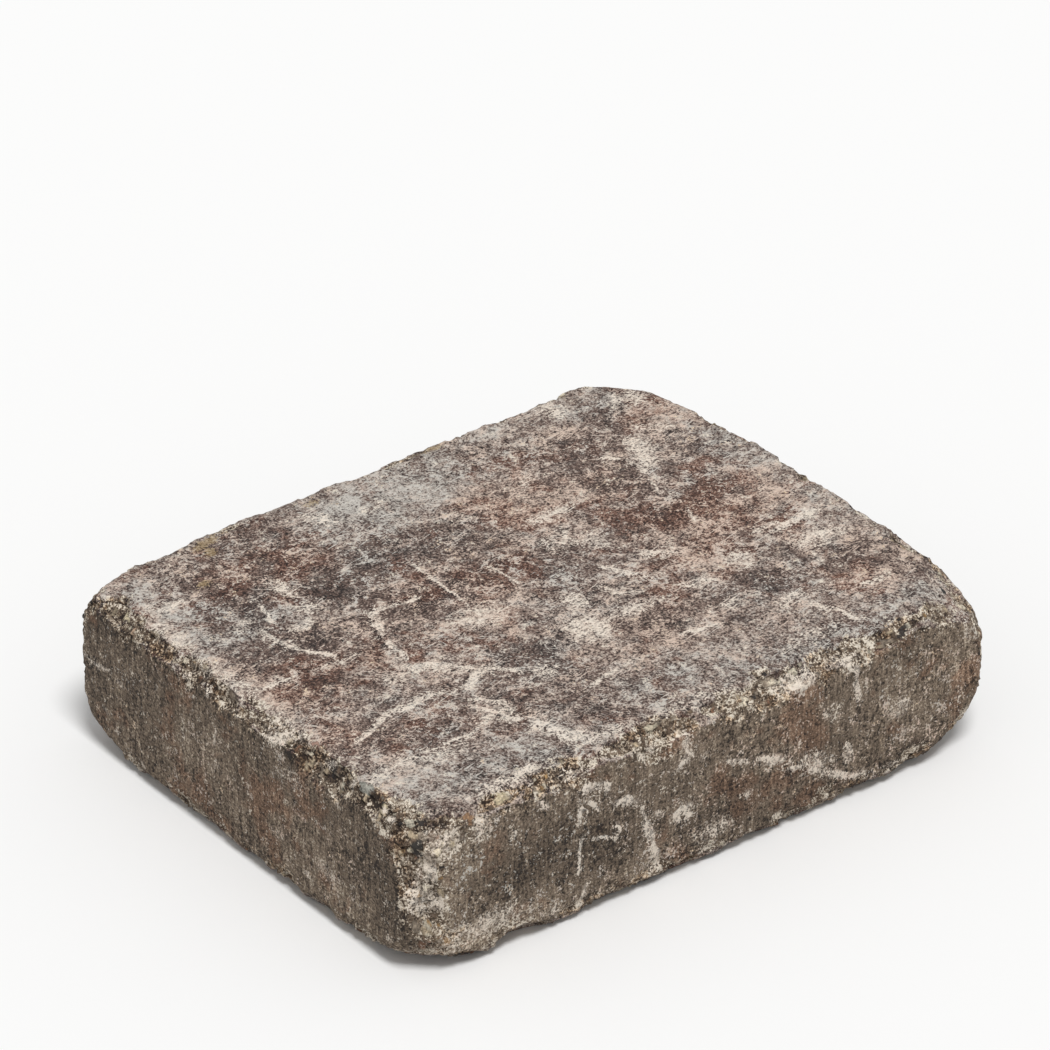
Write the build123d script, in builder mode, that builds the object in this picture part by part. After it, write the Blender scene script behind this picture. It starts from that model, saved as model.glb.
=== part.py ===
from build123d import *
import os
from math import cos, radians, sin, sqrt

# Tumbled concrete paver: one cast block whose corners were knocked off, and whose arrises were worn
# round and bitten, in the tumbler. It lies on its bed face, with the origin under its centre,
# +X along its length and +Z up. Sizes are in millimetres and angles in degrees.

# The block as it left the mould
length = 200.0
width = 160.0
thickness = 50.0

# What tumbling left of every arris
arris = 5.0

# Upright corners: the side of the block in x and y, and how wide the arris was worn off
uprights = {
    "near": ((-1, -1), 6.5),
    "right": ((1, -1), 4.5),
    "back": ((1, 1), 14.0),
    "left": ((-1, 1), 5.0),
}

# Knocks on the corners of the face and of the bed: reach along the length and width, and height.
# Where there are two, the second is the broader and flatter one.
face_knocks = {
    "near": [(15.0, 14.0, 15.0)],
    "right": [(15.0, 17.0, 22.0), (26.0, 32.0, 12.0)],
    "back": [(23.0, 27.0, 26.0), (13.0, 58.0, 15.0)],
    "left": [(30.0, 10.0, 14.0)],
}
bed_knocks = {
    "near": [(16.0, 18.0, 22.0), (28.0, 34.0, 8.0)],
    "right": [(17.0, 17.0, 26.0), (30.0, 28.0, 15.0)],
    "back": [(24.0, 26.0, 20.0)],
    "left": [(13.0, 14.0, 26.0), (24.0, 28.0, 13.0)],
}

# Bites out of the arrises: share of the way along, span along the arris, depth, and lean away
# from the arris' own slant, towards the face or the bed
arris_slant = 45.0
face_bites = {
    ("near", "left"): [
        (0.14, 18.0, 1.2, -8.0),
        (0.26, 28.0, 2.8, -20.0),
        (0.37, 18.0, 1.1, 6.0),
        (0.46, 22.0, 0.9, -6.0),
        (0.56, 17.0, 1.3, -14.0),
        (0.65, 16.0, 1.6, 8.0),
        (0.75, 19.0, 1.3, -10.0),
        (0.86, 16.0, 2.0, 4.0),
    ],
    ("near", "right"): [
        (0.14, 20.0, 1.1, 10.0),
        (0.25, 24.0, 1.8, -8.0),
        (0.35, 18.0, 1.1, 12.0),
        (0.43, 21.0, 1.6, -10.0),
        (0.52, 18.0, 0.9, 5.0),
        (0.61, 22.0, 2.0, -12.0),
        (0.72, 21.0, 1.4, 8.0),
        (0.81, 15.0, 1.3, -8.0),
    ],
    ("right", "back"): [(0.21, 19.0, 1.7, 10.0), (0.33, 15.0, 0.8, 12.0), (0.74, 30.0, 2.0, 10.0)],
    ("left", "back"): [
        (0.15, 24.0, 1.7, 8.0),
        (0.35, 20.0, 0.6, 8.0),
        (0.50, 20.0, 1.3, 10.0),
        (0.66, 24.0, 0.8, -5.0),
        (0.77, 22.0, 1.2, 6.0),
    ],
}
bed_bites = {
    ("near", "left"): [
        (0.18, 19.0, 1.5, 8.0),
        (0.28, 16.0, 1.2, -6.0),
        (0.38, 18.0, 1.2, 10.0),
        (0.60, 15.0, 1.0, -8.0),
        (0.75, 20.0, 1.6, 6.0),
    ],
    ("near", "right"): [
        (0.18, 22.0, 3.0, 5.0),
        (0.33, 20.0, 1.2, 8.0),
        (0.45, 17.0, 1.2, -5.0),
        (0.57, 18.0, 1.2, 6.0),
        (0.66, 14.0, 1.0, -8.0),
        (0.77, 18.0, 1.6, 6.0),
        (0.86, 16.0, 2.0, 4.0),
    ],
}
upright_bites = {
    "near": [(0.42, 17.0, 1.3, 12.0), (0.68, 18.0, 1.8, -10.0)],
    "left": [(0.55, 15.0, 0.9, 10.0)],
}

# Bites that differ in size and place by the golden ratio: how many to an arris, the ranges of span
# and depth, and the most lean. They are all that the bed arrises at the back have.
golden = (sqrt(5) - 1) / 2
margin = 0.12
back_bites = (6, (17.0, 29.0), (0.9, 2.1), 12.0)
crumbs = (9, (6.0, 10.0), (0.5, 1.1), 26.0)


def corner_point(name, z):
    sign_x, sign_y = uprights[name][0]
    return Vector(sign_x * length / 2, sign_y * width / 2, z)


def knock_plane(name, z, upward, reach_x, reach_y, height):
    """The plane that a knock leaves at one corner of the block, facing outwards."""
    sign_x, sign_y = uprights[name][0]
    foot = corner_point(name, z) - Vector(0, 0, upward * height)
    return Plane(foot, z_dir=Vector(sign_x / reach_x, sign_y / reach_y, upward / height))


def bite_balls(start, end, side, face, bites):
    """Balls that bite the rounded arris between a side and a face, given as outward directions."""
    balls = []
    for share, span, depth, lean in bites:
        radius = span**2 / (8 * depth) + depth / 2
        slant = radians(arris_slant + lean)
        outward = side * cos(slant) + face * sin(slant)
        core = start + (end - start) * share - (side + face) * arris
        middle = core + outward * (arris + radius - depth)
        balls.append(Location(middle) * Sphere(radius, mode=Mode.PRIVATE))
    return balls


def along_arris(ends, z, upward, bites):
    start, end = (corner_point(name, z) for name in ends)
    across = (start + end) * 0.5 - Vector(0, 0, z)
    return bite_balls(start, end, across.normalized(), Vector(0, 0, upward), bites)


def up_corner(name, bites):
    (sign_x, sign_y), worn = uprights[name]
    inwards = Vector(sign_x, sign_y, 0) * (worn / 2 - arris * (1 - 1 / sqrt(2)))
    foot, head = corner_point(name, 0.0) - inwards, corner_point(name, thickness) - inwards
    return bite_balls(foot, head, Vector(sign_x, 0, 0), Vector(0, sign_y, 0), bites)


def golden_bites(first, count, spans, depths, most_lean):
    for place in range(count):
        large = (first + place * golden) % 1
        share = margin + (1 - 2 * margin) * (place + large / 2) / count
        span = spans[0] + (spans[1] - spans[0]) * large
        depth = depths[0] + (depths[1] - depths[0]) * ((large + golden) % 1)
        yield share, span, depth, most_lean * (2 * large - 1)


with BuildPart() as paver:
    Box(length, width, thickness, align=(Align.CENTER, Align.CENTER, Align.MIN))
    for name, (_, worn) in uprights.items():
        upright_edges = paver.edges().filter_by(Axis.Z)
        chamfer(upright_edges.sort_by_distance(corner_point(name, thickness / 2))[0], worn)
    knocks = [(name, thickness, 1, *knock) for name in uprights for knock in face_knocks[name]]
    knocks += [(name, 0.0, -1, *knock) for name in uprights for knock in bed_knocks[name]]
    for knock in knocks:
        split(bisect_by=knock_plane(*knock), keep=Keep.BOTTOM)
    fillet(paver.edges(), arris)
    for place, ends in enumerate(face_bites):
        for z, upward, chosen in ((thickness, 1, face_bites), (0.0, -1, bed_bites)):
            bites = chosen.get(ends) or list(golden_bites(place * golden, *back_bites))
            small_bites = golden_bites(place * golden + z, *crumbs)
            add(along_arris(ends, z, upward, [*bites, *small_bites]), mode=Mode.SUBTRACT)
    for name, bites in upright_bites.items():
        add(up_corner(name, bites), mode=Mode.SUBTRACT)

os.makedirs("parts", exist_ok=True)
paver.part.label = "paver"
export_step(paver.part, "parts/paver.step")
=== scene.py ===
import math
import random

import bmesh
import bpy
import numpy as np
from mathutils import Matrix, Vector, kdtree, noise
from mathutils.bvhtree import BVHTree


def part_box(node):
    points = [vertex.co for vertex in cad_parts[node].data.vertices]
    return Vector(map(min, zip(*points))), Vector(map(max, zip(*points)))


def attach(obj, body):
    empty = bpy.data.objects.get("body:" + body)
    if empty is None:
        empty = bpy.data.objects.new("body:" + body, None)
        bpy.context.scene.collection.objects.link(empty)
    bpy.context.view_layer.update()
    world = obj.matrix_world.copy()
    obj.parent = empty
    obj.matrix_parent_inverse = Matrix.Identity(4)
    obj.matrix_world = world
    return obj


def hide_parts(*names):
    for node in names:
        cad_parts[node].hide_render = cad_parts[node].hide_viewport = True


# Tumbled concrete paver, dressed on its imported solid. The scene is in metres. The paver's own sizes and
# places below are in millimetres, and angles are in degrees.

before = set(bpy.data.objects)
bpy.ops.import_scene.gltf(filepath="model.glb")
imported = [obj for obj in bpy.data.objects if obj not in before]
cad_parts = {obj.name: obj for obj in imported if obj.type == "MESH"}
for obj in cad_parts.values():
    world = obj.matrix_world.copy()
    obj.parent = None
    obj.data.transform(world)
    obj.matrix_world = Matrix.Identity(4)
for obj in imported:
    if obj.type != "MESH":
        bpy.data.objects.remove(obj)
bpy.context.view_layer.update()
mm = 0.001
low, high = (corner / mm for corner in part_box("paver"))
half = (high - low) / 2
middle = (high + low) / 2
print("frame loaded, box in mm:", [round(side, 2) for side in high - low])


# Small helpers

def smooth(value, start, end):
    share = np.clip((value - start) / (end - start), 0, 1)
    return share * share * (3 - 2 * share)


def linear(colour):
    # a colour as a photo editor shows it, 0 to 255, to the renderer's own values
    return [(part / 255 / 12.92) if part < 10.3 else ((part / 255 + 0.055) / 1.055) ** 2.4 for part in colour]


def waves(points, size, octaves=1, shift=0.0):
    # smooth noise about 0, with features about size across
    away = Vector((shift, -2 * shift, 3 * shift))
    return np.array([noise.fractal(p / size + away, 0.9, 2.0, octaves) for p in points])


# The block's mesh: a box cut into a grid that is finest along the arrises

blank = {
    "rim": (14.0, 14.0, 13.0),       # how far the fine cells reach in from each edge, along x, y and z
    "fineCell": 0.62,
    "wideCell": (1.32, 1.32, 1.05),
    "core": 17.0,                    # depth of the inner box that the surface is looked up from
}


def gradedPlaces(axis):
    reach, rim = half[axis], blank["rim"][axis]
    rimCells = round(rim / blank["fineCell"])
    wideCells = round(2 * (reach - rim) / blank["wideCell"][axis])
    edge = np.linspace(-reach, -reach + rim, rimCells + 1)
    mid = np.linspace(-reach + rim, reach - rim, wideCells + 1)
    return np.concatenate([edge, mid[1:-1], -edge[::-1]]) + middle[axis]


def cutBlank():
    bm = bmesh.new()
    bmesh.ops.create_cube(bm, size=2)
    ways = [Vector((1, 0, 0)), Vector((0, 1, 0)), Vector((0, 0, 1))]
    places = [gradedPlaces(axis) for axis in range(3)]
    for way, steps in zip(ways, places):
        along = [e for e in bm.edges if abs((e.verts[1].co - e.verts[0].co).normalized().dot(way)) > 0.99]
        bmesh.ops.subdivide_edges(bm, edges=along, cuts=len(steps) - 2, use_grid_fill=True)
    for vert in bm.verts:
        vert.co = [steps[round((part + 1) / 2 * (len(steps) - 1))] for part, steps in zip(vert.co, places)]
    return bm


def surfaceTree():
    copy = bmesh.new()
    copy.from_mesh(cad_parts["paver"].data)
    bmesh.ops.remove_doubles(copy, verts=copy.verts[:], dist=1e-7)
    bmesh.ops.scale(copy, vec=Vector((1, 1, 1)) / mm, verts=copy.verts[:])
    tree = BVHTree.FromBMesh(copy)
    copy.free()
    return tree


def wrapOnSolid(bm):
    # each grid point goes to the solid's surface, on the ray from the inner box out through it
    tree = surfaceTree()
    core = half - Vector((1, 1, 1)) * blank["core"]
    for vert in bm.verts:
        apart = vert.co - middle
        inner = Vector([max(-reach, min(reach, part)) for part, reach in zip(apart, core)]) + middle
        hit = tree.ray_cast(inner, vert.co - inner)[0]
        vert.co = hit if hit else vert.co
    bm.normal_update()


bm = cutBlank()
wrapOnSolid(bm)
points = [v.co.copy() for v in bm.verts]
normals = [v.normal.copy() for v in bm.verts]
spot = np.array(points)
facing = np.array(normals)
print("grid wrapped on the solid:", len(bm.verts), "points,", 2 * len(bm.faces), "triangles")


# Where the surface is broken: in the bites and at the corners, and in pockets along the arrises

wear = {
    "round": 5.0,                    # the arrises' own rounding on the solid
    "biteStart": 0.15,               # a point this far inside the rounding is in a bite
    "biteEnd": 0.8,
    "band": (2.5, 8.0),              # distances from an edge between which the arris wear fades
    "crumble": 0.8,                  # depth of the crumbs on the broken concrete
    "cellSizes": (2.4, 1.2),         # stones and coarse sand in the broken concrete
    "cellDepths": (0.34, 0.22),
    "missing": 0.2,                  # share of stones that fell out
    "missingDepth": 1.3,
    "unevenTop": 0.25,               # depth of the waves on the faces that didn't break
    "pits": 1.0,                     # depth of the pits
}

grains = {
    # size of the features, octaves, shift
    "drift": (11.0, 3, 0.0),
    "ragged": (3.2, 3, 5.0),
    "sandy": (1.4, 2, 9.0),
    "broad": (30.0, 2, 13.0),
    "pocket": (11.0, 2, 17.0),
    "pit": (1.9, 1, 21.0),
    "wanderY": (4.0, 3, 31.0),
    "wanderZ": (4.0, 3, 37.0),
    "fade": (4.0, 2, 43.0),
}

breaks = [
    # x, y, z, reach, how much: places where the concrete broke away further
    (-98, -77, 40, 10, 1.0), (-97, -77, 28, 8, 1.0), (-95, -78, 18, 7, 0.8), (-92, -79, 10, 9, 0.9),
    (-90, -80, 45, 8, 0.8), (-98, -67, 48, 8, 0.9), (-96, 62, 49, 5, 1.0), (-99, 52, 48, 6, 1.0),
    (-99, 45, 48, 4, 0.7), (-99, 23, 48, 5, 1.0), (-99, 11, 48, 5, 1.0), (-99, -30, 48, 6, 0.8),
    (-99, -43, 47, 6, 0.9), (-47, -79, 48, 7, 0.8), (-20, -79, 48, 8, 0.9), (8, -79, 48, 6, 0.8),
    (22, -79, 48, 7, 1.0), (41, -79, 48, 6, 1.0), (52, -79, 48, 6, 1.0), (66, -79, 49, 5, 0.7),
    (84, -77, 49, 6, 0.9), (97, -72, 45, 6, 0.8), (97, -74, 10, 8, 0.9), (90, -79, 7, 7, 0.8),
    (-70, -79, 3, 9, 0.6), (-20, -79, 2, 8, 0.7), (40, -79, 2, 7, 0.6), (72, -79, 3, 7, 0.8),
]

gaps = np.array(half) - abs(spot - np.array(middle))
edgeGap = np.sort(gaps, axis=1)[:, 1]
topward = smooth(facing[:, 2], 0.35, 0.8)
bedward = smooth(-facing[:, 2], 0.35, 0.8)

drift, ragged, sandy, broad, pocket = (waves(points, *grains[name])
                                       for name in ("drift", "ragged", "sandy", "broad", "pocket"))

beyond = np.maximum(wear["round"] - gaps, 0)
insideRound = wear["round"] - np.linalg.norm(beyond, axis=1)
insideRound = np.where(beyond.max(axis=1) > 0, insideRound, 0)
bitten = smooth(insideRound + 0.35 * ragged, wear["biteStart"], wear["biteEnd"])
arrisBand = 1 - smooth(edgeGap + 1.8 * drift + 1.2 * ragged, *wear["band"])
pocketed = arrisBand * smooth(pocket + 0.5 * ragged, -0.05, 0.3)
broken = np.zeros(len(points))
for x, y, z, reach, amount in breaks:
    away = np.linalg.norm(spot - (x, y, z), axis=1)
    broken = np.maximum(broken, amount * (1 - smooth(away / reach + 0.35 * ragged + 0.2 * drift, 0.6, 1.15)))
worn = np.clip(np.maximum(np.maximum(bitten * arrisBand, pocketed), broken), 0, 1)
rim = 1 - smooth(edgeGap + 1.0 * drift + 0.8 * ragged, 2.4, 5.5)
scuffed = 1 - smooth(edgeGap + 4.0 * drift + 3.0 * ragged, 3.0, 14.0)


def brokenCells(size, depth, missing):
    # rounded stones with gaps between them, some fallen out: how deep each point lies
    down = np.empty(len(points))
    for index, point in enumerate(points):
        away, cells = noise.voronoi(point / size)
        fallen = noise.cell(cells[0] * 37.0) < missing
        down[index] = depth * min(1.0, 1.6 * away[0] ** 2) + (wear["missingDepth"] * depth if fallen else 0)
    return down


def spreadOut(values, turns):
    # each value becomes the mean of its own and its neighbours'
    pairs = np.array([[e.verts[0].index, e.verts[1].index] for e in bm.edges])
    count = 1 + np.bincount(pairs.ravel(), minlength=len(values))
    for _ in range(turns):
        total = values.copy()
        np.add.at(total, pairs[:, 0], values[pairs[:, 1]])
        np.add.at(total, pairs[:, 1], values[pairs[:, 0]])
        values = total / count
    return values


bm.verts.index_update()
stoneDown, sandDown = (brokenCells(size, deep, wear["missing"])
                       for size, deep in zip(wear["cellSizes"], wear["cellDepths"]))
depth = worn * (0.15 + wear["crumble"] * np.clip(0.3 + 0.8 * ragged, 0, 1.2) + stoneDown + sandDown)
depth += (1 - worn) * wear["unevenTop"] * np.clip(0.6 * broad + 0.7 * ragged + 0.3 * sandy + 0.1, 0, 1)
depth += (rim - worn).clip(0, 1) * (0.1 + 0.7 * sandDown + 0.5 * np.clip(ragged, 0, 1))
depth += (scuffed - rim).clip(0, 1) * 0.3 * np.clip(0.2 + ragged + sandy, 0, 1)

pitField = waves(points, *grains["pit"])
pitted = smooth(pitField, 0.45, 0.65) * np.where(topward > 0.5, 1.0, 0.3)
depth += wear["pits"] * pitted * (0.3 + 0.7 * scuffed)


# Stones of the aggregate, bared where the concrete is broken

aggregate = {
    "count": 560,
    "radius": (0.5, 1.6),
    "smallShare": 2.4,               # above 1 there are more small stones than large ones
    "swell": 0.5,                    # how far a stone stands out, as a share of its radius
    "sunk": (0.15, 0.7),             # the tumbler ground the stones down this far
    "angular": 0.45,                 # how far from round a stone is
    "seed": 41,
    "moat": 0.22,                    # depth of the gap round a stone
    "moatReach": 1.35,               # how far out it goes, in radii
    "colours": [
        ((216, 204, 182), 4),        # pale quartz
        ((186, 168, 142), 4),
        ((158, 143, 126), 4),        # grey
        ((116, 98, 82), 4),
        ((66, 60, 56), 2),           # basalt
        ((176, 142, 100), 1),        # ochre
        ((140, 106, 84), 2),         # red-brown
    ],
    "chosen": [
        # x, y, z, radius, colour: the stones that stand out by themselves
        (-96, -51, 50, 2.2, (158, 156, 146)), (-96.5, -54, 49.5, 1.5, (172, 170, 160)),
        (-99, -44, 46, 0.9, (214, 204, 184)), (-98, -62, 48, 1.2, (214, 198, 166)),
        (-99, -65.5, 47.5, 0.8, (232, 228, 212)), (-96, -71.5, 48, 1.3, (196, 188, 170)),
        (-97, -75.5, 43, 1.8, (58, 54, 50)), (-92.5, -80, 41, 1.2, (228, 212, 182)),
        (-91, -80, 43, 0.9, (214, 198, 170)), (-88, -80, 42, 1.2, (190, 172, 142)),
        (-70, -77, 48.5, 1.7, (206, 190, 158)), (-59, -71, 50, 1.0, (204, 192, 166)),
        (-94.5, -28, 50, 1.7, (182, 148, 132)), (91, -68, 46.5, 2.0, (62, 60, 58)),
        (-18, -76, 50, 1.8, (208, 196, 172)), (30, -77, 49, 1.2, (214, 204, 182)),
        (-82, -78, 47, 2.0, (166, 132, 102)), (-90, -79.5, 11, 1.8, (176, 144, 108)),
        (-97.5, 58, 49, 1.4, (214, 200, 170)), (-99, 51, 48, 1.3, (206, 176, 150)),
        (96, -60, 47, 1.3, (196, 186, 166)), (70, -77.5, 48.5, 1.1, (212, 202, 182)),
    ],
}

holes = [
    # x, y, z, reach, depth: pits that stand out by themselves
    (-94, 63.5, 50, 2.2, 1.8), (-97.5, 45, 48.5, 1.8, 1.3), (-97, 25, 48, 1.6, 1.3),
    (-99, -20, 47, 1.4, 0.8), (-93.5, -31, 50, 1.2, 1.0), (-98.5, -69, 46, 0.9, 1.0),
    (-84, -76, 49, 1.6, 0.8), (88, -71, 47.5, 1.5, 1.0), (-30, -77, 49, 1.3, 0.9),
    (14, -78, 48.5, 1.3, 0.9),
]

stoneColour = np.zeros((len(points), 4))
stoneTree = kdtree.KDTree(len(points))
for index, point in enumerate(points):
    stoneTree.insert(point, index)
stoneTree.balance()


def setStone(index, radius, colour, sunk):
    # a stone, cut out of round by the sand noise, with a gap round it
    reach = aggregate["moatReach"]
    for _, found, away in stoneTree.find_range(points[index], radius * reach):
        across = away / radius * (1 + aggregate["angular"] * sandy[found])
        if across > 1:
            bare = stoneColour[found, 3] == 0
            depth[found] += aggregate["moat"] * (reach - across) / (reach - 1) * bare
            continue
        level = sunk + aggregate["swell"] * radius * (1 - math.sqrt(1 - across * across))
        if level < depth[found] or across < 0.5:
            depth[found] = level
            stoneColour[found] = (*linear(colour), 1.0)


def scatterStones():
    dice = random.Random(aggregate["seed"])
    bared = np.flatnonzero(worn > 0.6)
    kinds, weights = zip(*aggregate["colours"])
    smallest, largest = aggregate["radius"]
    highest, deepest = aggregate["sunk"]
    for _ in range(aggregate["count"]):
        radius = smallest + (largest - smallest) * dice.random() ** aggregate["smallShare"]
        colour = dice.choices(kinds, weights)[0]
        shade = dice.uniform(0.85, 1.1)
        index = int(dice.choice(bared))
        setStone(index, radius, [part * shade for part in colour], dice.uniform(highest, deepest))
    for x, y, z, radius, colour in aggregate["chosen"]:
        setStone(stoneTree.find((x, y, z))[1], radius, colour, highest)


scatterStones()
for x, y, z, reach, deep in holes:
    away = np.linalg.norm(spot - (x, y, z), axis=1) / reach + 0.25 * ragged
    depth += deep * (1 - smooth(away, 0.3, 1.1))
print("stones set:", int((stoneColour[:, 3] > 0).sum()), "points on stones")

# painted shade and light: this relief, the depth less its local mean, goes into the colour, darker in the
# crevices and lighter on what stands out
paintedReliefShade = depth - spreadOut(depth, 8)        # above 0 in the crevices, below 0 on what stands out
for vert, normal, down in zip(bm.verts, normals, depth):
    vert.co -= normal * float(down)

limits = [(low[axis], high[axis]) for axis in range(3)]
for vert in bm.verts:
    vert.co = [max(least, min(most, part)) for part, (least, most) in zip(vert.co, limits)]
bmesh.ops.scale(bm, vec=Vector((1, 1, 1)) * mm, verts=bm.verts[:])

paverMesh = bpy.data.meshes.new("paverMesh")
bm.to_mesh(paverMesh)
bm.free()
paverMesh.shade_smooth()
paver = bpy.data.objects.new("paver_block", paverMesh)
bpy.context.scene.collection.objects.link(paver)


# Marks on the top and on the two sides in the camera's view. Places are x and y on the top, x and z on
# the right side, and y and z on the left side. The sides' rows are laid out as the top's are.

topTones = [
    # x, y, reach x, reach y, how much lighter (+) or darker (-)
    (-22, 13, 20, 6, -1.5), (-65, 13, 8, 7, -1.6), (-85, 13, 6, 6, -0.9), (-20, -28, 10, 6, -1.9),
    (52, -37, 8, 6, -1.9), (48, 10, 12, 8, -1.2), (53, 25, 7, 6, -1.0), (70, 9, 8, 9, -0.7),
    (8, 2, 9, 9, -0.9), (-46, 55, 22, 9, -0.8), (-52, 70, 10, 6, -0.8), (-22, 33, 24, 7, -0.9),
    (-48, 30, 8, 9, -0.9), (-78, 32, 9, 9, -0.4), (-78, -3, 10, 6, -0.9), (-40, -3, 9, 5, -0.6),
    (-80, -38, 10, 6, -0.8), (-60, -42, 9, 5, -0.7), (-42, -47, 5, 7, -0.9), (-30, -56, 9, 7, -0.5),
    (20, -34, 12, 5, -0.7), (78, -42, 8, 6, -0.6), (60, 50, 9, 7, -0.5), (-80, -24, 8, 8, -0.4),
    (28, 7, 5, 5, 0.9), (-84, -57, 11, 8, 1.2), (90, 2, 8, 26, 0.7), (-8, 66, 14, 12, 1.0),
    (-89, 54, 6, 18, 1.3), (-20, -4, 16, 5, 0.9), (27, 27, 8, 7, 0.9), (14, 52, 12, 10, 0.8),
    (69, 40, 6, 8, 0.8), (88, 46, 8, 9, 1.0), (64, 70, 9, 6, 0.9), (0, -26, 8, 8, 1.3),
    (-48, -16, 8, 5, 0.8), (54, -26, 5, 6, 1.0), (78, -28, 9, 6, 1.1), (-94, -10, 4, 30, 0.6),
    (-55, -62, 22, 6, 0.5), (10, -60, 26, 7, 0.4), (62, -60, 20, 9, 0.4), (-60, -30, 10, 4, 0.5),
    (24, -14, 7, 7, 0.5), (-94, 22, 3, 14, 1.0), (40, 70, 16, 6, 0.3), (-10, -47, 12, 5, 0.4),
    (-24, 62, 14, 12, 0.7), (4, 56, 14, 10, 0.6), (-64, 42, 9, 8, -0.9), (-12, 38, 14, 6, -0.5),
    (30, 40, 8, 12, 0.4), (52, 52, 9, 9, -0.5), (-34, 9, 10, 5, -0.5), (14, -46, 14, 8, 0.6),
    (-44, -66, 9, 8, 0.6), (82, 50, 8, 8, 0.5), (-40, -42, 8, 6, -0.5), (36, -20, 12, 8, 0.3),
    (-74, 47, 10, 9, -0.5),
]

topHues = [
    # x, y, reach x, reach y, how much redder (+) or bluer (-)
    (-30, 12, 30, 7, 0.8), (-70, 5, 20, 10, 0.6), (60, 0, 26, 22, 0.9), (74, -54, 14, 9, 1.1),
    (-84, -30, 12, 9, 0.8), (20, -34, 22, 8, 0.8), (-15, 0, 22, 8, 0.5), (-60, 52, 22, 9, 0.5),
    (48, 40, 22, 14, 0.7), (20, 40, 12, 14, 0.8), (-76, 34, 13, 11, -1.2), (0, 60, 22, 12, -1.1),
    (-20, 35, 22, 6, -0.9), (-72, -66, 22, 8, -0.7), (34, -72, 20, 6, -0.9), (-20, -28, 10, 6, -0.7),
    (52, -42, 7, 5, -0.9), (8, -2, 8, 9, -0.7), (88, 30, 8, 14, -0.6), (-88, 58, 8, 10, -0.8),
    (-62, 22, 10, 7, -0.5), (0, -60, 20, 7, -0.7), (82, -66, 9, 7, -0.8), (70, 66, 12, 7, -0.6),
    (24, 32, 10, 14, 0.5), (-20, 60, 14, 12, -0.5), (14, -44, 18, 7, 0.6), (80, 48, 8, 10, 0.5),
    (64, -6, 16, 12, 0.4), (-90, -2, 6, 10, 0.5), (60, -72, 20, 6, -0.8), (-46, -68, 12, 7, -0.6),
]

topPatches = [
    # x, y, reach x, reach y, turn in degrees, strength of the lime
    (-22, -4, 9, 5, 0, 0.8), (-2, -27, 6, 7, 0, 1.0), (12, -27, 9, 3, 0, 0.8), (4, -14, 3.5, 4.5, 0, 0.8),
    (26, 26, 8, 3, 0, 0.8), (69, 40, 3.5, 6, -20, 1.2), (66, 32, 3, 4, 0, 0.9),
    (28, 6.5, 3.5, 4.5, 0, 0.8), (62, 70, 4, 5, 0, 0.7), (-26, 63, 3, 6, 40, 0.9),
    (-10, 60, 6, 2.5, 20, 0.5), (36, -27, 4.5, 2.5, 0, 0.8), (54, -25, 4.5, 5, 0, 0.9),
    (78, -29, 7, 4, 0, 0.9), (-56, 40, 2.5, 5.5, 10, 0.9), (-56, 28, 3, 3, 0, 0.9),
    (-63, 21.5, 4, 2, 0, 0.9), (-76, 31.5, 4, 2, 20, 0.7), (-88, 52, 6, 3, -10, 0.8),
    (-24, -37, 3.5, 3.5, 0, 0.8), (-60, -15, 3, 4, 0, 0.6), (-85, -50, 10, 3, 10, 0.6),
    (-70, -53, 9, 3, 10, 0.6), (-45, -46, 3, 6, 10, 0.6), (-37, -68, 3, 6, 20, 0.8),
    (-68, -74, 10, 2, 0, 0.7), (17, 12, 3, 5, 0, 0.5), (80, 45, 6, 2.5, -35, 0.7),
    (85, 62, 3, 6, -30, 0.6), (-94, 40, 3, 12, 0, 0.7), (-95, 14, 2.5, 12, 0, 0.7),
    (-95, -15, 2.5, 10, 0, 0.6), (-90, 2, 6, 1.5, 0, 0.6), (-66, 1, 8, 2, 0, 0.4),
    (14, -15, 1.6, 4.5, 20, 0.7), (37, -41, 3, 3, 0, 0.5), (60, 12, 2, 3, 0, 0.4),
    (44, -68, 12, 3, 5, 0.5), (0, -73, 14, 2.5, 0, 0.5), (-30, -72, 10, 2.5, 0, 0.5),
    (76, -56, 6, 1.5, 5, 0.7), (55, -58, 2, 4, -15, 0.6), (5, 40, 3, 2.5, 0, 0.4), (32, 44, 3, 2, 0, 0.6),
]

topOchre = [
    # x, y, reach x, reach y, turn in degrees
    (-61, 72, 4, 2.2, 20), (-60.5, 67.8, 2.6, 2.2, 0), (-56.5, 73, 2.5, 2, 40), (22, 75.5, 4, 1.6, 0),
    (-22, 72, 2.2, 1.8, 0), (-72, 55, 2.5, 2, 0),
]

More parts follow.
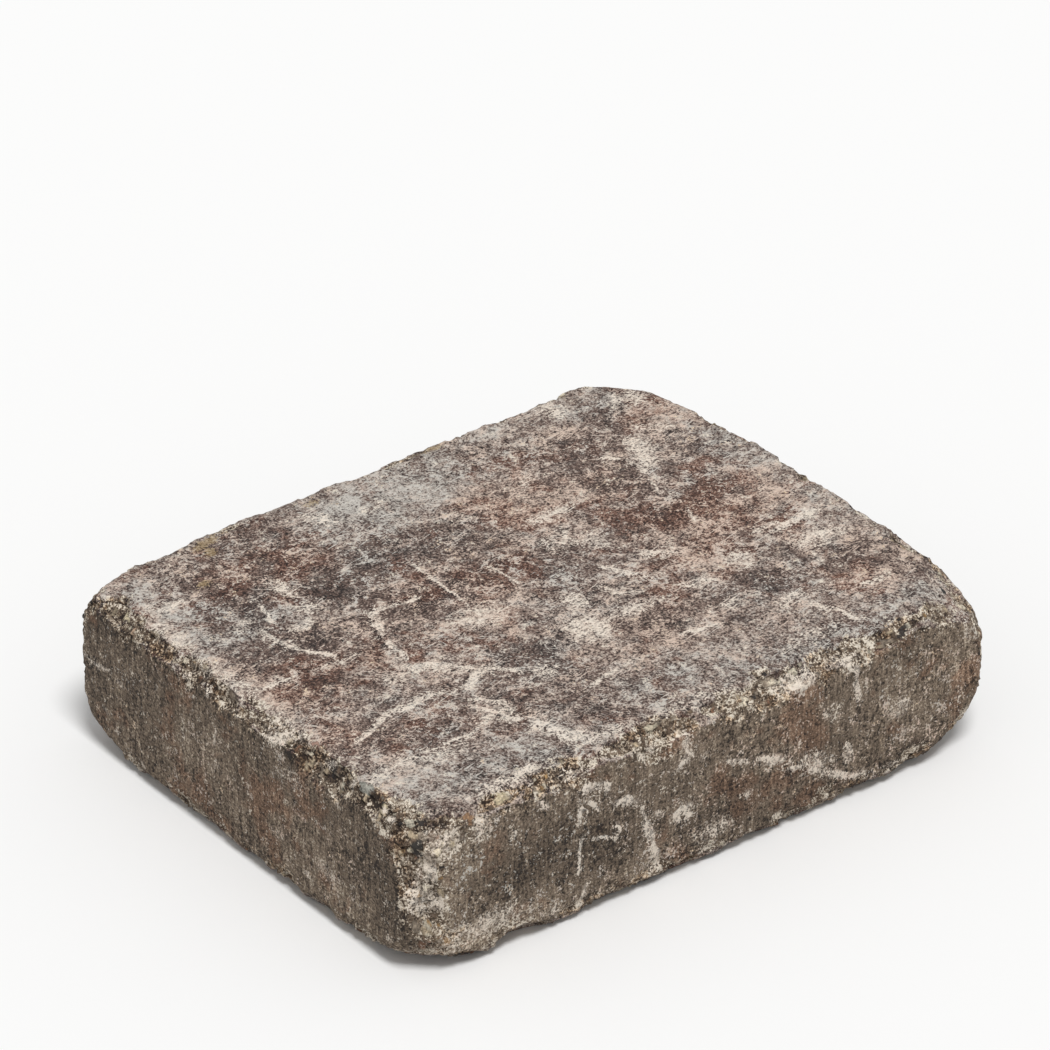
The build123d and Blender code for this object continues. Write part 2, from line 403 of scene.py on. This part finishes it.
topLines = [
    # half width, strength, points
    (1.0, 1.0, [(-43.6, 15.8), (-45.9, 10.5), (-48.5, 4.2)]),
    (0.8, 0.8, [(-30, 13.6), (-34.6, 14), (-39.9, 15), (-43.6, 15.8)]),
    (0.9, 0.9, [(-49.7, 1.1), (-50.1, -3.7), (-50, -7.8)]),
    (1.4, 1.0, [(-54, -12), (-46.7, -17), (-42, -21)]),
    (0.9, 0.9, [(-42, -21), (-35.8, -26.8), (-27, -35)]),
    (1.1, 1.0, [(-35, -27), (-39.6, -27), (-47.5, -31.5)]),
    (0.5, 0.7, [(-49, -35.6), (-41.5, -43.4)]),
    (1.0, 0.75, [(-51.8, -29.5), (-59, -27.8), (-65.3, -29), (-70.5, -28.9)]),
    (0.7, 0.9, [(-70.5, -28.9), (-80.8, -32.8), (-86.5, -34.6)]),
    (1.2, 0.9, [(-49, -41.5), (-47.2, -48.8), (-43.5, -53.7)]),
    (1.6, 1.0, [(-43.5, -53.7), (-40.7, -60), (-38, -71.6)]),
    (0.6, 0.8, [(-19.4, -50.5), (-11.5, -48.6), (-0.9, -47.7)]),
    (1.6, 0.8, [(-69, -73), (-54.7, -72.3)]),
    (0.5, 0.8, [(-3.7, 15.1), (-2.8, 1.9)]),
    (0.9, 0.8, [(19.9, -3.1), (23.4, -10.1), (29.1, -17.6)]),
    (0.6, 0.8, [(14.1, -12), (15.7, -18.2), (21.6, -22.2)]),
    (1.1, 1.0, [(69.6, -19), (87.1, -17.4)]),
    (0.8, 0.9, [(65.5, -16.3), (73.6, -15.2)]),
    (0.8, 0.9, [(72, -27.6), (87, -28.7)]),
    (0.6, 0.8, [(74, -31), (86, -31.4)]),
    (0.6, 0.8, [(72.8, -33), (70.8, -38.8)]),
    (1.1, 1.0, [(33.4, -5.6), (40.8, -10.3)]),
    (0.7, 0.8, [(55.4, 42.3), (61.6, 36.8), (62.6, 29.6), (60.8, 24.8)]),
    (0.5, 0.8, [(60.5, 23.7), (57.2, 16.2)]),
    (0.8, 0.7, [(24.7, 18.9), (22.7, 13), (23.1, 7.8)]),
    (0.9, 0.8, [(33.5, -25.1), (41.3, -28.3)]),
    (1.0, 1.0, [(46.3, -49.4), (50.6, -48.9), (55.7, -47.8)]),
    (0.6, 0.8, [(56.1, -56.5), (58.7, -61.4), (59.5, -69.1)]),
    (0.7, 0.9, [(17, -44.8), (30, -48.4)]),
    (0.5, 0.8, [(58.8, 4.9), (56.2, -1.7)]),
    (0.7, 0.8, [(-73, 29), (-73, 18), (-70, 11), (-63, 2)]),
    (0.5, 0.8, [(-65.5, 37), (-68.5, 26)]),
    (0.5, 0.7, [(-20, 30), (-20, 10), (-21, 0)]),
    (0.7, 0.7, [(76, 60), (82.5, 67.5)]),
    (0.5, 0.7, [(-92, -52), (-80, -49), (-60, -50), (-48, -46)]),
    (0.5, 0.6, [(-92, 2), (-77, 2.5)]),
]

rightLines = [
    (0.6, 1.0, [(-45.8, 37), (-45.5, 34.5), (-45.8, 31)]),
    (0.5, 1.0, [(-45.1, 26.5), (-45.7, 21), (-46.1, 15)]),
    (0.6, 0.9, [(-45.8, 37.6), (-44, 37.9), (-41.8, 36.5), (-39, 33.5)]),
    (1.0, 0.9, [(-45.4, 41), (-41.3, 41), (-36.4, 40.5), (-36.8, 37.7)]),
    (0.9, 1.0, [(-34.1, 33.4), (-29.5, 32.6), (-25.4, 30.1)]),
    (0.5, 1.0, [(-24.5, 28.5), (-22.6, 21.7)]),
    (0.9, 1.0, [(-23, 23), (-20.7, 14.9), (-18.6, 8)]),
    (0.9, 0.9, [(-13.9, 19.6), (-10.2, 22), (-6.1, 21.3)]),
    (0.5, 0.8, [(-13.5, 18.2), (-8, 18.4)]),
    (0.9, 0.8, [(-13, 35.1), (-9.6, 36.8), (-8.4, 39.1), (-9.6, 42.6), (-8.4, 46.5)]),
    (0.5, 0.9, [(4.3, 31.2), (11.8, 28)]),
    (0.5, 0.8, [(-42.3, 23.9), (-41.1, 25), (-36.7, 23.2), (-32.2, 21.3)]),
    (0.6, 0.8, [(-45, 6.5), (-43, 11.2)]),
    (0.5, 0.7, [(-33.1, 27), (-31.7, 23.3)]),
    (0.5, 0.6, [(-5, 5), (0.2, 4.4)]),
    (1.0, 1.0, [(16, 27.5), (20, 25), (25, 24)]),
    (0.8, 0.9, [(26, 20), (33, 18.5), (38, 14)]),
    (0.8, 1.0, [(39, 14.5), (46, 10), (53, 7.5)]),
    (0.8, 0.7, [(50.5, 45), (50, 38), (52, 33)]),
]

rightPatches = [
    (-41, 41.5, 3, 1.2, -10, 0.9), (-58, 42.8, 2.4, 1.1, -40, 1.1), (20.5, 25.5, 3, 1.4, 0, 1.1),
    (47.8, 17, 1.6, 3.4, 0, 0.9), (10.1, 30.9, 0.7, 1.0, 0, 1.3), (-23.5, 44, 0.7, 0.9, 0, 1.3),
    (12.6, 17.6, 1.0, 1.3, 0, 1.2), (-18.5, 23.5, 1.3, 1.0, 0, 1.0), (0, 11, 7, 3.5, 0, 0.45),
    (31, 46, 7, 2.2, 0, 1.0), (46, 46.5, 6, 1.6, 0, 0.8), (-76, 12, 12, 4, 0, 0.75),
    (-90, 8, 6, 5, 0, 0.6), (-96, 25, 3, 5, 0, 1.0), (-90, 43, 5, 4, 0, 0.8), (-78, 44, 3, 5, 0, 0.6),
    (30, 26.7, 0.9, 1.3, 0, 1.2), (66, 24, 4, 3, 0, 0.6), (68, 15.5, 1.2, 1.6, 0, 0.9),
    (-20, 8, 2, 3, 0, 0.6), (36, 19, 7, 3, -25, 0.6), (42, 32, 3, 3, 0, 0.5), (-3, 35.5, 2, 2, 0, 0.6),
    (-20, 45, 3, 2, 0, 0.6), (-46, 47, 4, 1.5, 0, 0.8), (-68, 37, 1.5, 1.5, 0, 0.7),
    (52, 8, 3, 1.4, 0, 0.8), (64, 6, 3, 1.4, 0, 0.6), (-55, 7, 4, 2, 0, 0.5), (90, 40, 1, 4, 0, 0.6),
]

rightTones = [
    (-38, 22, 16, 9, -0.8), (-62, 26, 8, 12, -0.4), (8, 15, 12, 8, -0.8), (-8, 12, 8, 6, -0.6),
    (30, 36, 22, 7, 0.3), (-50, 34, 10, 5, -0.5), (-70, 10, 16, 5, 1.2), (-90, 14, 6, 12, 1.0),
    (-84, 36, 7, 9, 0.5), (60, 30, 12, 10, 0.2), (70, 8, 14, 4, -0.9), (30, 8, 14, 4, -0.5),
    (-25, 8, 12, 5, 0.4), (22, 44, 18, 3, 0.8), (90, 30, 6, 14, 0.4), (-14, 38, 12, 6, -0.2),
    (-66, 24, 15, 10, -0.9), (-84, 9, 8, 5, 0.9), (6, 22, 7, 8, -0.6), (72, 30, 16, 9, 0.5),
    (38, 7, 8, 4, -0.6), (-35, 16, 7, 6, -0.5), (0, 49, 300, 3.5, -0.6), (-94, 26, 6, 18, 0.5),
    (16, 45, 8, 4, -1.0), (-5, 42, 6, 3, 0.5),
]

rightHues = [
    (10, 20, 14, 10, 1.0), (34, 30, 20, 10, 0.6), (75, 10, 12, 6, 1.0), (-45, 18, 16, 10, -0.6),
    (-84, 8, 12, 6, 1.2), (60, 30, 12, 12, -0.2), (-20, 40, 10, 6, 0.5), (90, 25, 5, 10, 0.8),
    (-66, 26, 20, 13, -1.6), (28, 33, 12, 8, 0.6), (38, 7, 10, 5, 0.9), (-34, 16, 7, 7, 0.9),
]

leftTones = [
    (60, 44, 14, 4, -0.6), (45, 20, 10, 9, -0.7), (-58, 30, 10, 10, -0.7), (20, 26, 14, 9, 0.4),
    (-20, 28, 12, 9, 0.3), (-30, 12, 16, 6, 0.4), (-74, 20, 6, 12, -0.7), (68, 22, 7, 12, -0.5),
    (-24, 46, 4, 3, -1.2), (8, 12, 12, 6, -0.3), (-48, 10, 8, 5, 0.6), (-45, 44, 12, 3, -0.5),
    (0, 49, 300, 4.5, -1.5), (-76, 34, 7, 20, -0.9),
]

leftHues = [
    (-15, 26, 30, 12, 0.6), (20, 12, 14, 8, 0.5), (60, 30, 18, 14, -0.5), (-60, 24, 14, 14, -0.3),
    (-75, 42, 6, 6, 1.2),
]

leftLines = [
    (1.0, 0.8, [(-10, 45), (-19.5, 48.7)]),
    (0.6, 0.7, [(75, 29), (66, 28.5), (60, 30)]),
    (0.5, 0.5, [(12, 29), (10.5, 38)]),
]

leftPatches = [
    (-36.4, 48, 1.8, 1.6, 0, 1.2), (-47, 48, 1.2, 2, 0, 1.2), (-67, 48, 1.2, 1.2, 0, 1.2),
    (-62.5, 48, 0.8, 1.0, 0, 1.2), (25.5, 46, 1.4, 1.6, 0, 1.1), (15.5, 46, 1, 1.6, 0, 0.9),
    (11.4, 24.5, 1.4, 2, 30, 0.7), (-5, 22.7, 0.9, 0.9, 0, 1.1), (-30, 11, 1.5, 1, 0, 0.7),
    (47, 6.4, 1.2, 1, 0, 0.9), (-78, 35, 3, 4.5, 0, 1.1), (-79, 24, 2, 3, 0, 0.9),
    (-66, 21, 1.2, 1.2, 0, 0.7), (64, 15.5, 1.2, 1.2, 0, 0.7), (56, 28, 1.5, 1, 0, 0.7),
    (-40, 17, 6, 3, 0, 0.4), (-67, 10, 2, 1.2, 0, 0.7), (-25, 38, 6, 4, 0, 0.3),
    (-14, 46.5, 4, 2, 20, 0.6),
]


def lineFields(flat, lines, near):
    # for each point: place across the nearest line in half widths, and the line's strength there
    across = np.full(len(flat), 99.0)
    force = np.zeros(len(flat))
    for width, strength, path in lines:
        path = np.array(path, float)
        lengths = np.linalg.norm(np.diff(path, axis=0), axis=1)
        run = np.concatenate([[0], np.cumsum(lengths)])
        for start, end, length, done in zip(path[:-1], path[1:], lengths, run):
            way = (end - start) / length
            rel = flat - start
            ahead = np.clip(rel @ way, 0, length)
            off = rel - ahead[:, None] * way
            side = np.sign(way[0] * rel[:, 1] - way[1] * rel[:, 0])
            apart = np.linalg.norm(off, axis=1) / width
            share = (done + ahead) / run[-1]
            taper = smooth(share, 0.0, 0.12) * (1 - smooth(share, 0.88, 1.0))
            better = near & (apart < np.abs(across))
            across[better] = (apart * side)[better]
            force[better] = (strength * (0.35 + 0.65 * taper) * (1 - smooth(apart, 2.4, 3.6)))[better]
    return across, force


def patchField(flat, patches, near):
    total = np.zeros(len(flat))
    for x, y, reachX, reachY, turn, strength in patches:
        angle = math.radians(turn)
        aside, ahead = flat[:, 0] - x, flat[:, 1] - y
        along = (aside * math.cos(angle) + ahead * math.sin(angle)) / reachX
        across = (ahead * math.cos(angle) - aside * math.sin(angle)) / reachY
        reachField = strength * np.clip(1.45 - np.hypot(along, across), 0, 1)
        total = np.maximum(total, np.where(near, reachField, 0))
    return total


def washField(flat, washes, near):
    # soft-edged washes, their edges pushed about by the noise
    total = np.zeros(len(flat))
    for x, y, reachX, reachY, amount in washes:
        away = np.hypot((flat[:, 0] - x) / reachX, (flat[:, 1] - y) / reachY) + 0.3 * drift + 0.15 * ragged
        total += np.where(near, amount * np.exp(-away * np.abs(away)), 0)
    return total


wander = np.stack([ragged, waves(points, *grains["wanderY"]), waves(points, *grains["wanderZ"])], 1)
marked = spot + 0.6 * wander
faded = np.clip(0.95 + 0.9 * waves(points, *grains["fade"]), 0.45, 1.2)
onTop = facing[:, 2] > 0.3
sides = [
    # the points on a side, its two axes, and its marks
    (onTop, (0, 1), topTones, topHues, topPatches, topLines),
    (facing[:, 1] < -0.5, (0, 2), rightTones, rightHues, rightPatches, rightLines),
    (facing[:, 0] < -0.5, (1, 2), leftTones, leftHues, leftPatches, leftLines),
]
across = np.full(len(points), 99.0)
force, tone, hue, lime = np.zeros((4, len(points)))
for near, axes, tones, hues, patches, lines in sides:
    tone += washField(spot[:, axes], tones, near)
    hue += washField(spot[:, axes], hues, near)
    lime = np.maximum(lime, patchField(marked[:, axes], patches, near))
    lineAcross, lineForce = lineFields(marked[:, axes], lines, near)
    taken = near & (np.abs(lineAcross) < np.abs(across))
    across[taken], force[taken] = lineAcross[taken], (lineForce * faded)[taken]
ochre = patchField(marked[:, (0, 1)], [(*patch, 1.0) for patch in topOchre], onTop)


def keep(name, kind, values):
    layer = paverMesh.attributes.new(name, kind, "POINT")
    field = {"FLOAT": "value", "FLOAT_VECTOR": "vector", "FLOAT_COLOR": "color"}[kind]
    layer.data.foreach_set(field, np.asarray(values, np.float32).ravel())


filmEdge = smooth(gaps[:, 2] + 1.2 * ragged + 1.5 * drift, 2.6, 4.6)
film = (1 - topward) * (1 - bedward) * filmEdge
# the third part of wear is the relief that only paints shade into the colour
keep("wear", "FLOAT_VECTOR", np.stack([worn, scuffed, paintedReliefShade], 1))
keep("faces", "FLOAT_VECTOR", np.stack([film, tone, hue], 1))
keep("lines", "FLOAT_VECTOR", np.stack([np.clip(across, -20, 20), force, lime], 1))
keep("rim", "FLOAT", rim)
keep("ochre", "FLOAT", ochre)
keep("stone", "FLOAT_COLOR", stoneColour)
print("marks laid out")


# Shader maths: one socket, with operators that add Math nodes

class Flow:
    def __init__(self, tree, socket=None):
        self.tree = tree
        self.socket = socket

    def add(self, kind, settings=None, inputs=None, out=0):
        node = self.tree.nodes.new(kind)
        for name, value in (settings or {}).items():
            if name == "stops":
                ramp = node.color_ramp
                while len(ramp.elements) < len(value):
                    ramp.elements.new(0.5)
                for element, (place, colour) in zip(ramp.elements, value):
                    element.position = place
                    element.color = (*linear(colour), 1)
            else:
                setattr(node, name, value)
        for name, value in (inputs or {}).items():
            if isinstance(value, Flow):
                self.tree.links.new(value.socket, node.inputs[name])
            else:
                node.inputs[name].default_value = value
        return Flow(self.tree, node.outputs[out] if node.outputs else None)

    def maths(self, operation, *values, clamp=False):
        settings = {"operation": operation, "use_clamp": clamp}
        return self.add("ShaderNodeMath", settings, dict(enumerate(values)))

    def __add__(self, other):
        return self.maths("ADD", self, other)

    def __sub__(self, other):
        return self.maths("SUBTRACT", self, other)

    def __rsub__(self, other):
        return self.maths("SUBTRACT", other, self)

    def __mul__(self, other):
        return self.maths("MULTIPLY", self, other)

    __radd__ = __add__
    __rmul__ = __mul__

    def least(self, other):
        return self.maths("MINIMUM", self, other)

    def most(self, other):
        return self.maths("MAXIMUM", self, other)

    def size(self):
        return self.maths("ABSOLUTE", self)

    def clamp(self):
        return self.maths("ADD", self, 0.0, clamp=True)

    def between(self, start, end):
        # 0 before start, 1 past end, smooth between
        return self.add("ShaderNodeMapRange", {"interpolation_type": "SMOOTHSTEP"},
                        {"Value": self, "From Min": start, "From Max": end})

    def blend(self, first, second, how="MIX"):
        # a colour: the first where this is 0, the second where it is 1
        return self.add("ShaderNodeMix", {"data_type": "RGBA", "blend_type": how},
                        {0: self, 6: first, 7: second}, out=2)


def tinted(colour):
    return (*linear(colour), 1)


# The concrete

concrete = {
    # how light, from 0 to 1, and the colour there
    "topRamp": [
        (0.00, (40, 32, 29)), (0.25, (78, 62, 56)), (0.50, (112, 93, 84)), (0.75, (147, 128, 117)),
        (1.00, (186, 169, 157)),
    ],
    "filmRamp": [
        (0.00, (42, 34, 28)), (0.25, (86, 74, 62)), (0.50, (120, 105, 90)), (0.75, (156, 139, 120)),
        (1.00, (216, 202, 182)),
    ],
    "crumbRamp": [
        (0.00, (48, 38, 31)), (0.28, (100, 84, 69)), (0.55, (152, 135, 116)), (0.80, (202, 188, 169)),
        (1.00, (240, 229, 212)),
    ],
    "rustTint": (255, 226, 212),
    "slateTint": (231, 240, 245),
    "rustCrumb": (255, 240, 224),
    "warmDust": (237, 213, 195),
    "coolDust": (220, 215, 206),
    "lime": (246, 233, 217),
    "ochre": (176, 152, 108),
    "roughness": 0.92,
    "sandGrain": 0.9,                # size of the sand grains in the broken concrete
    "shortSide": (96, 99),           # distance from the middle along x at which the short sides' look begins
    "perlinSpread": 0.13,            # standard deviation of one octave of the noise node
}


def buildConcrete():
    material = bpy.data.materials.new("tumbledConcrete")
    material.use_nodes = True
    tree = material.node_tree
    tree.nodes.clear()
    start = Flow(tree)
    place = start.add("ShaderNodeVectorMath", {"operation": "SCALE"},
                      {0: start.add("ShaderNodeTexCoord", out=3), "Scale": 1 / mm})

    def attribute(name, out):
        return start.add("ShaderNodeAttribute", {"attribute_name": name}, out=out)

    def parts(vector):
        return [start.add("ShaderNodeSeparateXYZ", {}, {0: vector}, out=out) for out in range(3)]

    def grain(size, detail=0.0, rough=0.5, shift=0.0, stretch=(1, 1, 1), turn=0.0, warp=0.0):
        # noise about 0 with a standard deviation near 1
        at = start.add("ShaderNodeMapping", {"vector_type": "TEXTURE"},
                       {"Vector": place, "Location": (-shift, -shift, -shift), "Scale": stretch,
                        "Rotation": (0, 0, math.radians(turn))})
        fog = start.add("ShaderNodeTexNoise", {},
                        {"Vector": at, "Scale": 1 / size, "Detail": detail, "Roughness": rough,
                         "Distortion": warp})
        steps = [rough ** step for step in range(int(detail) + 1)]
        gain = sum(steps) / math.sqrt(sum(step * step for step in steps)) / concrete["perlinSpread"]
        return fog.maths("MULTIPLY_ADD", fog, gain, -0.5 * gain)

    filmHere, toneHere, hueHere = parts(attribute("faces", "Vector"))
    lineAcross, lineForce, limeHere = parts(attribute("lines", "Vector"))
    # the third part is the relief used for painted shade
    wornHere, scuffHere, paintedReliefShadeHere = parts(attribute("wear", "Vector"))
    rimHere, ochreHere = attribute("rim", "Fac"), attribute("ochre", "Fac")

    mottle = grain(26.0, 7.0, 1.0)
    fine = grain(0.6, 1.0, 0.6, shift=320.0)
    shreds = grain(3.4, 4.0, 0.9, shift=240.0)
    speck = grain(0.8, 1.0, 0.6, shift=160.0)
    pore = grain(0.95, 1.0, 0.6, shift=200.0)
    veil = grain(7.0, 5.0, 0.85, shift=120.0, warp=0.5)
    stain = grain(13.0, 4.0, 0.8, shift=360.0)
    rust = grain(20.0, 3.0, 0.7, shift=40.0) + hueHere * 1.2
    slate = grain(11.0, 3.0, 0.8, shift=80.0) - hueHere * 1.2
    drag = grain(1.1, 2.0, 0.7, shift=280.0, stretch=(1, 1, 11))
    strokes = grain(0.55, 1.0, 0.6, shift=400.0, stretch=(12, 1, 4), turn=14.0)
    strokes = strokes.most(grain(0.55, 1.0, 0.6, shift=440.0, stretch=(10, 1, 4), turn=-48.0))
    tatters = shreds * 0.42 + fine * 0.45

    # the cast face: scuffed, mottled between grey, red-brown and slate
    light = 0.6 + mottle * 0.05 + shreds * 0.07 + fine * 0.17 + toneHere * 0.12
    light = light - stain.between(0.3, 1.1) * 0.12
    # the last term is painted shade, darker in the crevices
    light = light - (pore + mottle * 0.3).between(1.15, 1.5) * 0.42 - paintedReliefShadeHere.clamp() * 0.3
    bared = light.add("ShaderNodeValToRGB", {"stops": concrete["topRamp"]}, {"Fac": light})
    bared = rust.between(0.0, 1.8).blend(bared, tinted(concrete["rustTint"]), "MULTIPLY")
    bared = slate.between(0.1, 1.7).blend(bared, tinted(concrete["slateTint"]), "MULTIPLY")
    dust = 0.15 + mottle * 0.08 + veil * 0.1 + shreds * 0.09 + fine * 0.13 + toneHere * 0.2
    dust = (dust + (scuffHere + rimHere) * 0.08).clamp() * (1 - pore.between(1.0, 1.5) * 0.7)
    flecks = (speck * 0.6 + veil * 0.5 + shreds * 0.5 + toneHere * 0.2).between(1.05, 1.3) * 0.85
    flecks = flecks.most((strokes + veil * 0.5 + toneHere * 0.3).between(1.9, 2.3) * 0.85)
    warmth = (hueHere + mottle * 0.25 + stain * 0.25).between(-0.9, 0.9)
    dustColour = warmth.blend(tinted(concrete["coolDust"]), tinted(concrete["warmDust"]))
    topColour = dust.most(flecks).blend(bared, dustColour)

    # the sides: a smooth cement film, dragged upwards by the mould, with fine dark pores, more of them
    # and fewer splashes on the two short sides
    shortSide = parts(place)[0].size().between(*concrete["shortSide"])
    film = 0.54 + mottle * 0.05 + shreds * 0.035 + drag * 0.075 + fine * 0.12 + toneHere * 0.18
    filmPore = pore + stain * 0.35 + fine * 0.3 - toneHere * 0.4 + shortSide * 0.2
    film = film - filmPore.between(0.95, 1.4) * 0.4
    film = film + shortSide * 0.02
    # painted shade: the film is darker in the crevices
    film = film - paintedReliefShadeHere.clamp() * 0.35
    filmColour = film.add("ShaderNodeValToRGB", {"stops": concrete["filmRamp"]}, {"Fac": film})
    filmColour = (rust.between(0.3, 1.9) * 0.7).blend(filmColour, tinted(concrete["rustTint"]), "MULTIPLY")
    splashes = speck * 0.6 + veil * 0.5 + shreds * 0.4 + toneHere * 0.3 - shortSide * 0.35
    filmColour = (splashes.between(1.27, 1.42) * 0.8).blend(filmColour, dustColour)

    filmMask = (filmHere + shreds * 0.14 + fine * 0.08).between(0.44, 0.56)
    skin = filmMask.blend(topColour, filmColour)

    # broken arrises: brown crumbs with cream flakes, with painted shade in the hollows and painted light on
    # what stands out
    sand = start.add("ShaderNodeTexVoronoi", {"feature": "F1"},
                     {"Vector": place, "Scale": 1 / concrete["sandGrain"]}, out=1)
    sandShade = start.add("ShaderNodeSeparateColor", {}, {0: sand}, out=0)
    # the relief term paints shade into the hollows and light onto the raised crumbs
    crumbLight = 0.4 + sandShade * 0.2 + mottle * 0.12 + shreds * 0.09 + fine * 0.1 - paintedReliefShadeHere * 0.28
    crumbLight = crumbLight + toneHere * 0.12
    crumbLight = crumbLight + (veil * 0.5 + tatters * 1.3).between(0.25, 0.75) * 0.38
    crumbLight = crumbLight + (rimHere - wornHere).clamp() * 0.1
    crumbLight = crumbLight - (pore + stain * 0.4).between(0.8, 1.4) * 0.3
    crumbColour = crumbLight.add("ShaderNodeValToRGB", {"stops": concrete["crumbRamp"]}, {"Fac": crumbLight})
    crumbColour = stain.between(0.2, 1.4).blend(crumbColour, tinted(concrete["rustCrumb"]), "MULTIPLY")
    wornMask = (wornHere + shreds * 0.2 + fine * 0.1).between(0.4, 0.56)
    colour = wornMask.blend(skin, crumbColour)
    # the relief term paints shade onto stones in the hollows and light onto those that stand out
    stoneShade = 0.96 + mottle * 0.08 + fine * 0.15 - pore.between(0.9, 1.4) * 0.3 - paintedReliefShadeHere * 0.25
    stoneColour = start.add("ShaderNodeVectorMath", {"operation": "SCALE"},
                            {0: attribute("stone", "Color"), "Scale": stoneShade})
    colour = (attribute("stone", "Alpha") + fine * 0.1).between(0.4, 0.7).blend(colour, stoneColour)

    # lime along the scratches and in patches: crisp flakes in a thin haze
    lineField = lineForce * (1.85 - (lineAcross + shreds * 0.34 + fine * 0.2).size() * 0.95)
    limeField = lineField.most(limeHere).least(1.2)
    flakes = (limeField + tatters * 0.5 + strokes * 0.3).between(0.8, 0.92)
    haze = (limeField + mottle * 0.12 + fine * 0.3).between(0.1, 1.1) * 0.36
    limeMask = (flakes * (0.98 - (pore + fine * 0.8).between(0.3, 1.3) * 0.6)).most(haze)
    limeMask = limeMask * (lineForce + limeHere).between(0.02, 0.3)
    limeColour = (0.75 + shreds * 0.3 + fine * 0.25).clamp().blend(dustColour, tinted(concrete["lime"]))
    colour = limeMask.blend(colour, limeColour)
    ochreMask = (ochreHere + tatters * 0.4).between(0.4, 0.8) * ochreHere.between(0.02, 0.2)
    colour = (ochreMask * 0.5).blend(colour, tinted(concrete["ochre"]))

    height = mottle * 0.035 + shreds * 0.04 + fine * 0.035 - (pore + fine * 0.3).between(0.8, 1.6) * 0.16
    height = height * (1 - filmMask * 0.4) + sandShade * wornMask * 0.12 + flakes * limeField.clamp() * 0.06
    bump = start.add("ShaderNodeBump", {}, {"Height": height, "Strength": 1.0, "Distance": mm})
    shader = start.add("ShaderNodeBsdfPrincipled", {},
                       {"Base Color": colour, "Roughness": concrete["roughness"], "Normal": bump})
    start.add("ShaderNodeOutputMaterial", {}, {"Surface": shader})
    return material


paverMesh.materials.append(buildConcrete())
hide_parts("paver")
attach(paver, "root")
print("paver dressed")


# Floor, light and camera

studio = {
    "floorSize": 6.0,
    "floorColour": (0.965, 0.965, 0.96),
    "floorBounce": (0.45, 0.44, 0.43),
    "sky": 0.45,
    "keyStrength": 1.95,
    "keyFrom": (-0.16, -0.41, 0.90),
    "keyAngle": 18.0,
}


def buildFloor():
    bm = bmesh.new()
    bmesh.ops.create_grid(bm, x_segments=1, y_segments=1, size=studio["floorSize"] / 2)
    mesh = bpy.data.meshes.new("floorMesh")
    bm.to_mesh(mesh)
    bm.free()
    floor = bpy.data.objects.new("floor", mesh)
    bpy.context.scene.collection.objects.link(floor)
    material = bpy.data.materials.new("paleFloor")
    material.use_nodes = True
    tree = material.node_tree
    tree.nodes.clear()
    start = Flow(tree)
    seen = start.add("ShaderNodeLightPath", out=0)
    shown = start.add("ShaderNodeLightPath", out=3)
    through = start.add("ShaderNodeLightPath", out=6)
    direct = seen.most(shown).most(through)
    colour = direct.blend((*studio["floorBounce"], 1), (*studio["floorColour"], 1))
    shader = start.add("ShaderNodeBsdfDiffuse", {}, {"Color": colour})
    start.add("ShaderNodeOutputMaterial", {}, {"Surface": shader})
    mesh.materials.append(material)


def buildLight():
    world = bpy.data.worlds.new("studioSky")
    world.use_nodes = True
    tree = world.node_tree
    tree.nodes.clear()
    start = Flow(tree)
    seen = start.add("ShaderNodeLightPath", out=0)
    strength = studio["sky"] + seen * (1 - studio["sky"])
    sky = start.add("ShaderNodeBackground", {}, {"Color": (1, 1, 1, 1), "Strength": strength})
    start.add("ShaderNodeOutputWorld", {}, {"Surface": sky})
    bpy.context.scene.world = world
    lamp = bpy.data.lights.new("keyLight", "SUN")
    lamp.energy = studio["keyStrength"]
    lamp.angle = math.radians(studio["keyAngle"])
    key = bpy.data.objects.new("keyLight", lamp)
    key.rotation_mode = "QUATERNION"
    key.rotation_quaternion = Vector(studio["keyFrom"]).to_track_quat("Z", "Y")
    bpy.context.scene.collection.objects.link(key)


viewpoint = {
    "azimuth": -37.66,
    "elevation": 31.56,
    "distance": 2.2323,
    "target": (0.0423, 0.0580, 0.025),
    "lens": 268.2,
    "sensor": 36.0,
}


def buildCamera():
    azimuth, elevation = math.radians(viewpoint["azimuth"]), math.radians(viewpoint["elevation"])
    back = Vector((math.sin(azimuth) * math.cos(elevation), -math.cos(azimuth) * math.cos(elevation),
                   math.sin(elevation)))
    lensData = bpy.data.cameras.new("camera")
    lensData.lens = viewpoint["lens"]
    lensData.sensor_width = viewpoint["sensor"]
    lensData.clip_end = 20
    camera = bpy.data.objects.new("camera", lensData)
    camera.location = Vector(viewpoint["target"]) + back * viewpoint["distance"]
    camera.rotation_mode = "QUATERNION"
    camera.rotation_quaternion = back.to_track_quat("Z", "Y")
    bpy.context.scene.collection.objects.link(camera)
    bpy.context.scene.camera = camera


buildFloor()
buildLight()
buildCamera()
bpy.context.scene.view_settings.view_transform = "Standard"
print("studio set")
